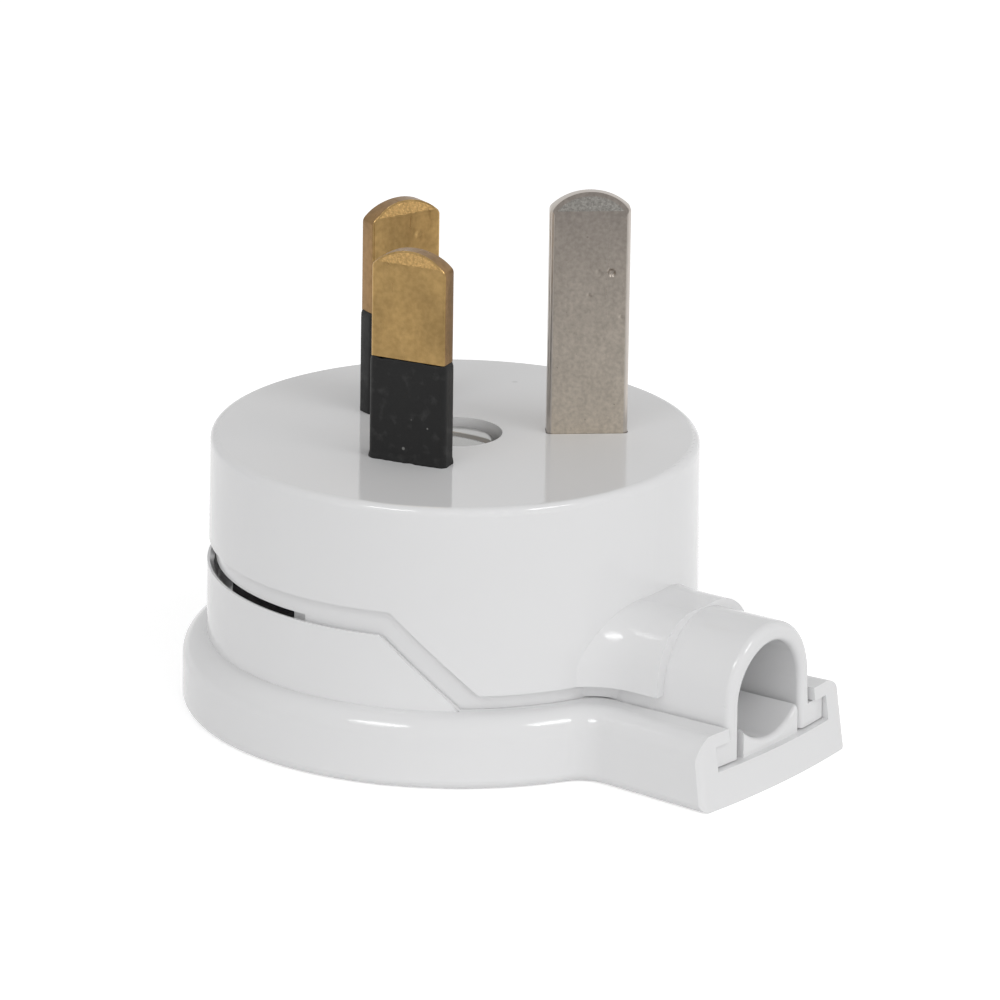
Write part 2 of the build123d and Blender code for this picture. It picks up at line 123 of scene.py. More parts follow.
class PlugSizes(bpy.types.PropertyGroup):
    """Sizes of the pieces that are modelled here."""

    blade_width: bpy.props.FloatProperty(
        name="Blade width", description="Width of each flat pin", default=6.35 * MM, unit="LENGTH"
    )
    blade_thickness: bpy.props.FloatProperty(
        name="Blade thickness", description="Thickness of each flat pin", default=1.63 * MM, unit="LENGTH"
    )
    tip_crown: bpy.props.FloatProperty(
        name="Tip crown", description="Rise of the rounded tip", default=1.35 * MM, unit="LENGTH"
    )
    shoulder_round: bpy.props.FloatProperty(
        name="Shoulders", description="Size of the rounding where the crown meets the sides",
        default=0.55 * MM, unit="LENGTH"
    )
    earth_edge_round: bpy.props.FloatProperty(
        name="Earth pin edges", description="Rounding of the earth pin's edges",
        default=0.46 * MM, unit="LENGTH"
    )
    line_edge_round: bpy.props.FloatProperty(
        name="Line pin edges", description="Rounding of the line pins' edges", default=0.2 * MM, unit="LENGTH"
    )
    tip_set_in: bpy.props.FloatProperty(
        name="Tip set in", default=0.75,
        description="How far the filed grain keeps from its edges, as a share of their rounding"
    )
    tip_bevel_length: bpy.props.FloatProperty(
        name="Tip bevel", description="Length of the bevel at the tip", default=1.8 * MM, unit="LENGTH"
    )
    line_bevel_length: bpy.props.FloatProperty(
        name="Brass tip bevel", description="Length of the bevel at the brass tips",
        default=1.2 * MM, unit="LENGTH"
    )
    tip_bevel_depth: bpy.props.FloatProperty(
        name="Tip bevel depth", description="How far the tip is thinned on each face",
        default=0.45 * MM, unit="LENGTH"
    )
    blade_step: bpy.props.FloatProperty(
        name="Blade step", description="Spacing of the cuts that a blade's faces are shaped by",
        default=0.16 * MM, unit="LENGTH"
    )
    tip_step: bpy.props.FloatProperty(
        name="Tip step", description="Spacing of the cuts at a blade's tip", default=0.1 * MM, unit="LENGTH"
    )
    tip_roughness: bpy.props.FloatProperty(
        name="Tip roughness", description="Depth of the filed surface of a tip",
        default=0.05 * MM, unit="LENGTH"
    )
    blade_waviness: bpy.props.FloatProperty(
        name="Blade waviness", description="Unevenness of a blade's faces", default=0.02 * MM, unit="LENGTH"
    )
    sleeve_wall: bpy.props.FloatProperty(
        name="Sleeve wall", description="Thickness of a sleeve", default=0.4 * MM, unit="LENGTH"
    )
    sleeve_length: bpy.props.FloatProperty(
        name="Sleeve length", description="Height of the sleeve above the pin face",
        default=8.3 * MM, unit="LENGTH"
    )
    sleeve_wave: bpy.props.FloatProperty(
        name="Sleeve wave", description="How far a sleeve's top edge dips", default=0.14 * MM, unit="LENGTH"
    )
    sleeve_swell: bpy.props.FloatProperty(
        name="Sleeve swell", description="How far a sleeve bulges below its top edge",
        default=0.09 * MM, unit="LENGTH"
    )
    foot_swell: bpy.props.FloatProperty(
        name="Foot swell", description="How far a sleeve's foot swells", default=0.16 * MM, unit="LENGTH"
    )
    screw_dome: bpy.props.FloatProperty(
        name="Screw dome", description="Rise of the middle screw's head", default=0.32 * MM, unit="LENGTH"
    )
    head_lift: bpy.props.FloatProperty(
        name="Head lift", description="Extra height of the middle screw's head",
        default=0.17 * MM, unit="LENGTH"
    )
    dome_from: bpy.props.FloatProperty(
        name="Dome depth", description="How far down the head's top is domed",
        default=0.85 * MM, unit="LENGTH"
    )
    screw_turn: bpy.props.FloatProperty(
        name="Screw turn", description="How far round the middle screw was left",
        default=math.radians(14.0), unit="ROTATION"
    )


class PlugColours(bpy.types.PropertyGroup):
    """Colours of the finishes."""

    plastic: bpy.props.FloatVectorProperty(
        name="White plastic", description="Colour of both mouldings", subtype="COLOR", size=3,
        min=0, max=1, default=(0.80, 0.80, 0.805)
    )
    nickel: bpy.props.FloatVectorProperty(
        name="Nickel", description="Colour of the plated earth pin", subtype="COLOR", size=3,
        min=0, max=1, default=(0.42, 0.37, 0.315)
    )
    brass: bpy.props.FloatVectorProperty(
        name="Brass", description="Colour of the bare brass pins", subtype="COLOR", size=3,
        min=0, max=1, default=(0.52, 0.34, 0.14)
    )
    # The worn edges' colour is lighter than the plating, partly from wear and partly as a painted highlight
    # on the rounded edges.
    nickel_edge_and_highlight: bpy.props.FloatVectorProperty(
        name="Worn nickel edges", description="Colour of the earth pin's rounded edges",
        subtype="COLOR", size=3,
        min=0, max=1, default=(0.58, 0.535, 0.49)
    )
    nickel_tip: bpy.props.FloatVectorProperty(
        name="Filed nickel", description="Colour of the earth pin's filed tip", subtype="COLOR", size=3,
        min=0, max=1, default=(0.36, 0.345, 0.32)
    )
    brass_side: bpy.props.FloatVectorProperty(
        name="Brass sides", description="Colour of the sheared sides of the brass pins",
        subtype="COLOR", size=3,
        min=0, max=1, default=(0.30, 0.185, 0.085)
    )
    sleeve: bpy.props.FloatVectorProperty(
        name="Sleeve", description="Colour of the insulation on the line pins", subtype="COLOR", size=3,
        min=0, max=1, default=(0.012, 0.012, 0.012)
    )
    # The slot's colour is a painted shade: a darker steel that stands in for the shade deep in the screw's
    # slot.
    slot: bpy.props.FloatVectorProperty(
        name="Screw slot", description="Colour of the dull metal in the middle screw's slot",
        subtype="COLOR", size=3,
        min=0, max=1, default=(0.26, 0.25, 0.235)
    )
    steel: bpy.props.FloatVectorProperty(
        name="Steel", description="Colour of the plated screws", subtype="COLOR", size=3,
        min=0, max=1, default=(0.47, 0.47, 0.46)
    )


class PlugStage(bpy.types.PropertyGroup):
    """Camera and light."""

    camera_bearing: bpy.props.FloatProperty(
        name="Camera bearing", description="Where the camera stands, turned from the neck",
        default=math.radians(-54.64), unit="ROTATION"
    )
    camera_elevation: bpy.props.FloatProperty(
        name="Camera elevation", description="How far the camera looks down",
        default=math.radians(18.52), unit="ROTATION"
    )
    camera_roll: bpy.props.FloatProperty(
        name="Camera roll", description="Turn of the picture about its middle",
        default=math.radians(0.86), unit="ROTATION"
    )
    camera_distance: bpy.props.FloatProperty(
        name="Camera distance", description="From the camera to the point it aims at",
        default=0.7727, unit="LENGTH"
    )
    camera_aim: bpy.props.FloatVectorProperty(
        name="Camera aim", description="The point in the middle of the picture",
        subtype="TRANSLATION", size=3,
        default=(0.03 * MM, 6.15 * MM, 14.93 * MM)
    )
    lens: bpy.props.FloatProperty(
        name="Lens", description="Focal length in millimetres", default=351.54
    )
    key_power: bpy.props.FloatProperty(
        name="Key light", description="Power of the light on the right", default=1.3, unit="POWER"
    )
    fill_power: bpy.props.FloatProperty(
        name="Fill light", description="Power of the light on the left", default=0.9, unit="POWER"
    )
    sky_top: bpy.props.FloatProperty(
        name="Sky overhead", description="Strength of the even light straight above", default=0.26
    )
    sky_low: bpy.props.FloatProperty(
        name="Sky low down", description="What the even light gains down to the horizon", default=0.62
    )
    sky_front: bpy.props.FloatProperty(
        name="Sky in front", description="What the even light gains in front", default=0.78
    )
    mirror_front: bpy.props.FloatProperty(
        name="Mirrored front", description="How bright the camera's side is where metal mirrors it",
        default=0.6
    )
    glare: bpy.props.FloatProperty(
        name="Glare", description="Strength of the two soft lights as glossy surfaces mirror them",
        default=3.6
    )
    front_bearing: bpy.props.FloatProperty(
        name="Front bearing", description="Where the front light is strongest, in degrees from the neck",
        default=-35.0
    )


def new_node(tree, kind, **settings):
    """A shader node with some of its settings."""
    node = tree.nodes.new(kind)
    for name, value in settings.items():
        setattr(node, name, value)
    return node


def feed(tree, socket, source):
    """Links a socket from another socket, or sets its value."""
    if isinstance(source, bpy.types.NodeSocket):
        tree.links.new(source, socket)
    else:
        socket.default_value = source


def math_node(tree, operation, first, second=0.0):
    """The result of a calculation on two numbers or sockets."""
    node = new_node(tree, "ShaderNodeMath", operation=operation)
    feed(tree, node.inputs[0], first)
    feed(tree, node.inputs[1], second)
    return node.outputs[0]


def spread(tree, value, low, high, to_low=0.0, to_high=1.0):
    """A value carried from one range to another, kept inside it."""
    node = new_node(tree, "ShaderNodeMapRange")
    for socket, source in zip(node.inputs, (value, low, high, to_low, to_high)):
        feed(tree, socket, source)
    return node.outputs[0]


def mixed(tree, share, first, second, blend_type="MIX"):
    """Two colours mixed by a share."""
    node = new_node(tree, "ShaderNodeMix", data_type="RGBA", blend_type=blend_type)
    feed(tree, node.inputs["Factor"], share)
    feed(tree, node.inputs[6], first)
    feed(tree, node.inputs[7], second)
    return node.outputs[2]


def tinted(tree, first, tint):
    """A colour multiplied by another."""
    return mixed(tree, 1.0, first, tint, "MULTIPLY")


def varied(tree, pattern, low, high):
    """A number that follows a soft pattern from one end to the other."""
    return spread(tree, pattern, 0.3, 0.7, low, high)


def colour(rgb, share):
    """A colour with its alpha, made darker or lighter by a share."""
    return (rgb[0] * share, rgb[1] * share, rgb[2] * share, 1.0)


def grey(level):
    """A grey with its alpha."""
    return (level, level, level, 1.0)


def two_tone(tree, pattern, tone, dark, light):
    """A colour that follows a pattern from a darker to a lighter shade of itself."""
    return mixed(tree, pattern, colour(tone, dark), colour(tone, light))


def along(tree, direction, given):
    """How far a direction runs along a given one."""
    node = new_node(tree, "ShaderNodeVectorMath", operation="DOT_PRODUCT")
    feed(tree, node.inputs[0], direction)
    feed(tree, node.inputs[1], given)
    return node.outputs["Value"]


def ray_kinds(tree):
    """Whether a ray comes from the camera, and whether a glossy or a clear surface sent it."""
    rays = new_node(tree, "ShaderNodeLightPath").outputs
    mirrored = math_node(tree, "MAXIMUM", rays["Is Glossy Ray"], rays["Is Transmission Ray"])
    return rays["Is Camera Ray"], mirrored


def noise_value(tree, place, scale, detail=2.0, roughness=0.5):
    """A smooth random value over the surface."""
    node = new_node(tree, "ShaderNodeTexNoise")
    feed(tree, node.inputs["Vector"], place)
    feed(tree, node.inputs["Scale"], scale)
    feed(tree, node.inputs["Detail"], detail)
    feed(tree, node.inputs["Roughness"], roughness)
    return node.outputs[0]


def new_group(name, inputs, outputs):
    """An empty shader node group with named number inputs and outputs."""
    group = bpy.data.node_groups.new(name, "ShaderNodeTree")
    group.interface.new_socket("Vector", in_out="INPUT", socket_type="NodeSocketVector")
    for label, value in inputs.items():
        socket = group.interface.new_socket(label, in_out="INPUT", socket_type="NodeSocketFloat")
        socket.default_value = value
    for label in outputs:
        group.interface.new_socket(label, in_out="OUTPUT", socket_type="NodeSocketFloat")
    return group, new_node(group, "NodeGroupInput").outputs, new_node(group, "NodeGroupOutput").inputs


def make_mottle_group():
    """Uneven gloss: slow patches with fine grain over them."""
    values = {"Patch Scale": 180.0, "Grain Scale": 4000.0}
    group, given, out = new_group("mottle", values, ["Patches", "Grain"])
    feed(group, out["Patches"], noise_value(group, given["Vector"], given["Patch Scale"], 3.0))
    feed(group, out["Grain"], noise_value(group, given["Vector"], given["Grain Scale"], 2.0))
    return group


def make_speck_group():
    """Small separate spots, each of its own size."""
    group, given, out = new_group("specks", {"Scale": 900.0, "Share": 0.2, "Size": 0.3}, ["Spots"])
    cells = new_node(group, "ShaderNodeTexVoronoi", feature="F1")
    feed(group, cells.inputs["Vector"], given["Vector"])
    feed(group, cells.inputs["Scale"], given["Scale"])
    pick = new_node(group, "ShaderNodeSeparateColor")
    feed(group, pick.inputs[0], cells.outputs["Color"])
    chosen = math_node(group, "LESS_THAN", pick.outputs[0], given["Share"])
    radius = math_node(group, "MULTIPLY", given["Size"], math_node(group, "ADD", 0.35, pick.outputs[1]))
    edge = math_node(group, "MULTIPLY", radius, 0.55)
    spot = spread(group, cells.outputs["Distance"], edge, radius, 1.0, 0.0)
    feed(group, out["Spots"], math_node(group, "MULTIPLY", spot, chosen))
    return group


def make_scratch_group():
    """Fine lines drawn out along the given vector's Z."""
    group, given, out = new_group("scratches", {"Scale": 900.0, "Stretch": 0.03}, ["Lines"])
    squeeze = new_node(group, "ShaderNodeCombineXYZ")
    feed(group, squeeze.inputs[0], 1.0)
    feed(group, squeeze.inputs[1], 1.0)
    feed(group, squeeze.inputs[2], given["Stretch"])
    place = new_node(group, "ShaderNodeVectorMath", operation="MULTIPLY")
    feed(group, place.inputs[0], given["Vector"])
    feed(group, place.inputs[1], squeeze.outputs[0])
    feed(group, out["Lines"], noise_value(group, place.outputs[0], given["Scale"], 3.0, 0.65))
    return group


effects = {}


def effect(tree, name, place, **values):
    """A shared effect placed in a material, with its own values."""
    makers = {"mottle": make_mottle_group, "specks": make_speck_group, "scratches": make_scratch_group}
    if name not in effects:
        effects[name] = makers[name]()
    node = new_node(tree, "ShaderNodeGroup", node_tree=effects[name])
    feed(tree, node.inputs["Vector"], place)
    for label, value in values.items():
        feed(tree, node.inputs[label.replace("_", " ").title()], value)
    return node.outputs


def start_material(name, **shader_values):
    """A material with a Principled shader, and the object's own coordinates."""
    made = bpy.data.materials.new(name)
    made.use_nodes = True
    tree = made.node_tree
    shader = tree.nodes["Principled BSDF"]
    for label, value in shader_values.items():
        shader.inputs[label.replace("_", " ")].default_value = value
    place = new_node(tree, "ShaderNodeTexCoord").outputs["Object"]
    return made, tree, shader, place


def bump(tree, height, distance, strength=1.0):
    """A normal that is tilted by a height."""
    node = new_node(tree, "ShaderNodeBump")
    feed(tree, node.inputs["Strength"], strength)
    feed(tree, node.inputs["Distance"], distance)
    feed(tree, node.inputs["Height"], height)
    return node.outputs["Normal"]


def plastic_material(name, tone):
    """Glossy white moulding: even colour, slightly uneven gloss, a few grey marks."""
    made, tree, shader, place = start_material(name, IOR=1.49)
    mottle = effect(tree, "mottle", place, patch_scale=220.0, grain_scale=5200.0)
    marks = effect(tree, "specks", place, scale=260.0, share=0.04, size=0.10)
    patch = two_tone(tree, mottle["Patches"], tone, 0.995, 1.005)
    marked = mixed(tree, math_node(tree, "MULTIPLY", marks["Spots"], 0.22), patch, colour(tone, 0.45))
    feed(tree, shader.inputs["Base Color"], marked)
    feed(tree, shader.inputs["Roughness"], varied(tree, mottle["Patches"], 0.05, 0.08))
    feed(tree, shader.inputs["Normal"], bump(tree, mottle["Grain"], 0.004 * MM, 0.6))
    return made


def up_the_pin(tree, place):
    """How far up a pin a point is, from 0 at the pin face to 1 at the tips."""
    part = new_node(tree, "ShaderNodeSeparateXYZ")
    feed(tree, part.inputs[0], place)
    return spread(tree, part.outputs[2], pin_face_height, pin_face_height + 19.0 * MM)


def polished_and_highlit_material(name, tone):
    """The rounded edges of the nickel plated pin, worn bright and lightened further as a painted highlight.
    """
    made, tree, shader, place = start_material(name, Metallic=1.0)
    mottle = effect(tree, "mottle", place, patch_scale=900.0, grain_scale=4000.0)
    feed(tree, shader.inputs["Base Color"], two_tone(tree, mottle["Patches"], tone, 0.85, 1.12))
    feed(tree, shader.inputs["Roughness"], varied(tree, mottle["Patches"], 0.28, 0.40))
    feed(tree, shader.inputs["Normal"], bump(tree, mottle["Patches"], 0.01 * MM))
    return made


def nickel_material(name, tone):
    """Worn nickel plating: brushing along the pin, pits and uneven patches of tone, with a painted reflection
    that lightens it near the pin face and darkens it towards the tip.
    """
    made, tree, shader, place = start_material(name, Metallic=1.0)
    mottle = effect(tree, "mottle", place, patch_scale=420.0, grain_scale=2600.0)
    pits = effect(tree, "specks", place, scale=1700.0, share=0.10, size=0.16)
    grain = effect(tree, "mottle", place, patch_scale=3200.0, grain_scale=9000.0)
    lines = effect(tree, "scratches", place, scale=1500.0, stretch=0.05)
    patch = two_tone(tree, mottle["Patches"], tone, 0.86, 1.12)
    fine = mixed(tree, varied(tree, grain["Patches"], 0.0, 1.0), grey(0.86), grey(1.1))
    patch = tinted(tree, patch, fine)
    pitted = mixed(tree, math_node(tree, "MULTIPLY", pits["Spots"], 0.5), patch, colour(tone, 0.5))
    # Painted reflection: the plating is made far lighter near the pin face and darker towards the tip,
    # standing in for what the blade mirrors.
    shaded = math_node(tree, "POWER", up_the_pin(tree, place), 0.7)
    painted_lit_foot = tinted(tree, pitted, (1.58, 1.60, 1.58, 1.0))
    painted_shaded_tip = tinted(tree, pitted, (0.86, 0.87, 0.92, 1.0))
    feed(tree, shader.inputs["Base Color"], mixed(tree, shaded, painted_lit_foot, painted_shaded_tip))
    rough = varied(tree, lines["Lines"], 0.26, 0.40)
    rough = math_node(tree, "ADD", rough, math_node(tree, "MULTIPLY", pits["Spots"], 0.2))
    feed(tree, shader.inputs["Roughness"], rough)
    height = math_node(tree, "ADD", mottle["Grain"], grain["Patches"])
    height = math_node(tree, "SUBTRACT", height, math_node(tree, "MULTIPLY", pits["Spots"], 1.5))
    feed(tree, shader.inputs["Normal"], bump(tree, height, 0.02 * MM))
    return made


def filed_material(name, tone, share, grain_share):
    """The rough grainy metal of a filed tip."""
    made, tree, shader, place = start_material(name, Metallic=1.0)
    grain = effect(tree, "mottle", place, patch_scale=5200.0, grain_scale=9000.0)
    flecks = spread(tree, grain["Patches"], 0.38, 0.62)
    flecked = two_tone(tree, flecks, tone, share * (1.0 - grain_share), share * (1.0 + grain_share))
    feed(tree, shader.inputs["Base Color"], flecked)
    feed(tree, shader.inputs["Roughness"], varied(tree, grain["Grain"], 0.45, 0.6))
    feed(tree, shader.inputs["Normal"], bump(tree, grain["Patches"], 0.05 * MM))
    return made


def brass_material(name, tone, worn=1.0):
    """Bare brass: drawn lines along the pin, tarnish in patches."""
    made, tree, shader, place = start_material(name, Metallic=1.0)
    mottle = effect(tree, "mottle", place, patch_scale=300.0, grain_scale=3000.0)
    lines = effect(tree, "scratches", place, scale=1300.0, stretch=0.12)
    grain = effect(tree, "mottle", place, patch_scale=2400.0, grain_scale=9000.0)
    patch = two_tone(tree, spread(tree, mottle["Patches"], 0.35, 0.65), tone, 0.84, 1.08)
    fine = mixed(tree, varied(tree, grain["Patches"], 0.0, 1.0), (0.90, 0.89, 0.86, 1.0), grey(1.08))
    feed(tree, shader.inputs["Base Color"], tinted(tree, patch, fine))
    feed(tree, shader.inputs["Roughness"], varied(tree, lines["Lines"], 0.26, 0.42))
    height = math_node(tree, "ADD", lines["Lines"], math_node(tree, "MULTIPLY", mottle["Grain"], 0.5))
    feed(tree, shader.inputs["Normal"], bump(tree, height, 0.012 * MM, worn))
    return made


def sleeve_material(name, tone):
    """Satin black insulation with pale dust specks."""
    made, tree, shader, place = start_material(name, Specular_IOR_Level=0.28)
    mottle = effect(tree, "mottle", place, patch_scale=350.0, grain_scale=3500.0)
    dust = effect(tree, "specks", place, scale=1500.0, share=0.05, size=0.20)
    patch = two_tone(tree, mottle["Patches"], tone, 0.8, 1.5)
    wear = effect(tree, "mottle", place, patch_scale=1100.0, grain_scale=6000.0)
    smudge = math_node(tree, "MULTIPLY", spread(tree, wear["Patches"], 0.55, 0.75), 0.2)
    patch = mixed(tree, smudge, patch, (0.10, 0.10, 0.098, 1.0))
    dusty = math_node(tree, "MULTIPLY", dust["Spots"], 0.35)
    feed(tree, shader.inputs["Base Color"], mixed(tree, dusty, patch, (0.45, 0.45, 0.43, 1.0)))
    feed(tree, shader.inputs["Roughness"], varied(tree, mottle["Patches"], 0.42, 0.58))
    feed(tree, shader.inputs["Normal"], bump(tree, mottle["Grain"], 0.02 * MM))
    return made


def steel_material(name, tone):
    """Plated steel of a screw."""
    made, tree, shader, place = start_material(name, Metallic=1.0)
    mottle = effect(tree, "mottle", place, patch_scale=500.0, grain_scale=4000.0)
    feed(tree, shader.inputs["Base Color"], two_tone(tree, mottle["Patches"], tone, 0.85, 1.05))
    feed(tree, shader.inputs["Roughness"], varied(tree, mottle["Patches"], 0.14, 0.24))
    feed(tree, shader.inputs["Normal"], bump(tree, mottle["Grain"], 0.006 * MM))
    return made


materials = {}


def finish(name):
    """The material of one of the record's slots, made once."""
    tones = bpy.context.scene.plug_colours
    makers = {
        "housing_plastic": lambda slot: plastic_material(slot, tones.plastic),
        "cover_plastic": lambda slot: plastic_material(slot, tones.plastic),
        "grip_plastic": lambda slot: plastic_material(slot, tones.plastic),
        "nickel_plate": lambda slot: nickel_material(slot, tones.nickel),
        "nickel_plate_sides": lambda slot: polished_and_highlit_material(slot, tones.nickel_edge_and_highlight),
        "nickel_plate_tip": lambda slot: filed_material(slot, tones.nickel_tip, 0.97, 0.16),
        "pin_brass": lambda slot: brass_material(slot, tones.brass),
        "pin_brass_sides": lambda slot: brass_material(slot, tones.brass_side),
        "pin_brass_tip": lambda slot: filed_material(slot, tones.brass, 1.24, 0.14),
        "terminal_brass": lambda slot: brass_material(slot, tones.brass, 0.5),
        "sleeve_plastic": lambda slot: sleeve_material(slot, tones.sleeve),
        "screw_steel": lambda slot: steel_material(slot, tones.steel),
        # The slot's finish is the plated steel in a darker colour, as painted shade.
        "screw_slot": lambda slot: steel_material(slot, tones.slot),
    }
    if name not in materials:
        materials[name] = makers[name](name + "_finish")
    return materials[name]


def paint_nodes(names, slot):
    """Gives CAD nodes the finish of a slot."""
    for name in names:
        node = frame["nodes"][name]
        for place in node.material_slots:
            place.material = finish(slot)


def add_object(name, data):
    """A new object in the scene."""
    made = bpy.data.objects.new(name, data)
    bpy.context.scene.collection.objects.link(made)
    return made


def new_piece(name, bm, slot, replaced, smooth_angle=35.0):
    """Turns a bmesh into a piece in the finish of a slot, which takes a CAD node's place on the plug."""
    bmesh.ops.recalc_face_normals(bm, faces=bm.faces)
    mesh = bpy.data.meshes.new(name)
    bm.to_mesh(mesh)
    bm.free()
    mesh.shade_smooth()
    mesh.set_sharp_from_angle(angle=math.radians(smooth_angle))
    mesh.materials.append(finish(slot))
    piece = add_object(name, mesh)
    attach(piece, "root")
    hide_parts(replaced)
    return piece


def merged_copy(name):
    """A CAD node's shape as one closed mesh whose flat faces are whole."""
    bm = bmesh.new()
    bm.from_mesh(frame["nodes"][name].data)
    bmesh.ops.remove_doubles(bm, verts=bm.verts, dist=COPY_MERGE)
    bmesh.ops.dissolve_limit(bm, angle_limit=math.radians(0.5), verts=bm.verts, edges=bm.edges)
    return bm


def cut_at(bm, place, way, clear=False):
    """Cuts a mesh along a plane, and may clear away what lies beyond it."""
    everything = list(bm.verts) + list(bm.edges) + list(bm.faces)
    cut = bmesh.ops.bisect_plane(bm, geom=everything, plane_co=place, plane_no=way, clear_outer=clear)
    return cut["geom_cut"]


def slices(bm, way, start, end, step):
    """Cuts a mesh into thin bands across a direction, so that its surface can take fine shape."""
    for count in range(int((end - start) / step) + 1):
        cut_at(bm, Vector(way) * (start + count * step), way)


def pin_seat(mount, turn):
    """Where a pin stands, with its blade's width along the seat's X."""
    x, y = mounts[mount]["pos_m"][:2]
    return Matrix.Translation((x, y, 0.0)) @ Matrix.Rotation(math.atan2(y, x) + turn, 4, "Z")


pins = {
    "earth": (pin_seat("earth_blade", 0.0), "nickel_plate"),
    "active": (pin_seat("active_blade", math.pi / 2), "pin_brass"),
    "neutral": (pin_seat("neutral_blade", math.pi / 2), "pin_brass"),
}


def blade_body(sizes, length, edge_round, bevel_length):
    """A flat bar on z = 0, its width along X, with a crowned top, round shoulders and round edges."""
    half = sizes.blade_width / 2
    radius = (half * half + sizes.tip_crown ** 2) / (2 * sizes.tip_crown)
    turn = sizes.shoulder_round
    middle = length - radius
    shoulder = middle + math.sqrt((radius - turn) ** 2 - (half - turn) ** 2)
    touch = (half - turn) * radius / (radius - turn)
    lay = Matrix.Rotation(math.pi / 2, 4, "X")
    bm = bmesh.new()
    ends = bmesh.new()
    for side in (-1, 1):
        depth = side * sizes.blade_thickness / 2
        crown = Matrix.Translation((0.0, depth, middle)) @ lay
        bmesh.ops.create_circle(bm, segments=240, radius=radius, matrix=crown)
        cut_at(bm, (touch, 0, 0), (1, 0, 0), True)
        cut_at(bm, (-touch, 0, 0), (-1, 0, 0), True)
        cut_at(bm, (0, 0, middle), (0, 0, -1), True)
        for across in (-1, 1):
            corner = Matrix.Translation((across * (half - turn), depth, shoulder)) @ lay
            bmesh.ops.create_circle(ends, segments=72, radius=turn, matrix=corner)
    size = Matrix.Diagonal((sizes.blade_width, sizes.blade_thickness, FOOT_HEIGHT, 1.0))
    foot = Matrix.Translation((0.0, 0.0, FOOT_HEIGHT / 2)) @ size
    bmesh.ops.create_cube(ends, size=1.0, matrix=foot)
    parts = bpy.data.meshes.new("parts")
    ends.to_mesh(parts)
    ends.free()
    bm.from_mesh(parts)
    bpy.data.meshes.remove(parts)
    bmesh.ops.delete(bm, geom=list(bm.edges), context="EDGES_FACES")
    bmesh.ops.convex_hull(bm, input=bm.verts)
    bmesh.ops.delete(bm, geom=[vert for vert in bm.verts if not vert.link_faces], context="VERTS")
    bmesh.ops.dissolve_limit(bm, angle_limit=math.radians(0.3), verts=bm.verts, edges=bm.edges)
    bmesh.ops.recalc_face_normals(bm, faces=bm.faces)
    rims = []
    for edge in bm.edges:
        one, other = edge.verts
        if abs(one.co.y - other.co.y) < FLAT_RANGE and max(one.co.z, other.co.z) > FLAT_RANGE:
            rims.append(edge)
    bmesh.ops.bevel(
        bm, geom=rims, affect="EDGES", offset=edge_round, offset_type="OFFSET",
        segments=6, profile=0.5, material=-1, clamp_overlap=False
    )
    for side in (1, -1):
        slope = Vector((0.0, side * sizes.tip_bevel_length, sizes.tip_bevel_depth)).normalized()
        place = (0.0, side * sizes.blade_thickness / 2, length - bevel_length)
        loop = [item for item in cut_at(bm, place, slope, True) if isinstance(item, bmesh.types.BMEdge)]
        filed = bmesh.ops.edgeloop_fill(bm, edges=loop)["faces"]
        bmesh.ops.recalc_face_normals(bm, faces=bm.faces)
        border = edge_round * sizes.tip_set_in
        bmesh.ops.inset_region(bm, faces=filed, thickness=border, use_even_offset=True)
        for face in filed:
            face.material_index = TIP
    return bm


def carry_down(bm, length, x_share=1.0, y_share=1.0):
    """Carries a bar's bottom face on downwards, first making it narrower or wider."""
    low = min(vert.co.z for vert in bm.verts)
    ends = [face for face in bm.faces if all(vert.co.z < low + SAME_PLACE for vert in face.verts)]
    for reach, x_scale, y_scale in ((0.0, x_share, y_share), (length, 1.0, 1.0)):
        if reach == 0.0 and x_share == 1.0:
            continue
        grown = bmesh.ops.extrude_face_region(bm, geom=ends)["geom"]
        moved = [item for item in grown if isinstance(item, bmesh.types.BMVert)]
        bmesh.ops.delete(bm, geom=ends, context="FACES_ONLY")
        ends = [item for item in grown if isinstance(item, bmesh.types.BMFace)]
        bmesh.ops.translate(bm, verts=moved, vec=(0.0, 0.0, -reach))
        bmesh.ops.scale(bm, verts=moved, vec=(x_scale, y_scale, 1.0))


def noise_start():
    """A place in the noise for the next piece to start from."""
    return Vector((random.uniform(0, 9), random.uniform(0, 9), 0.0))


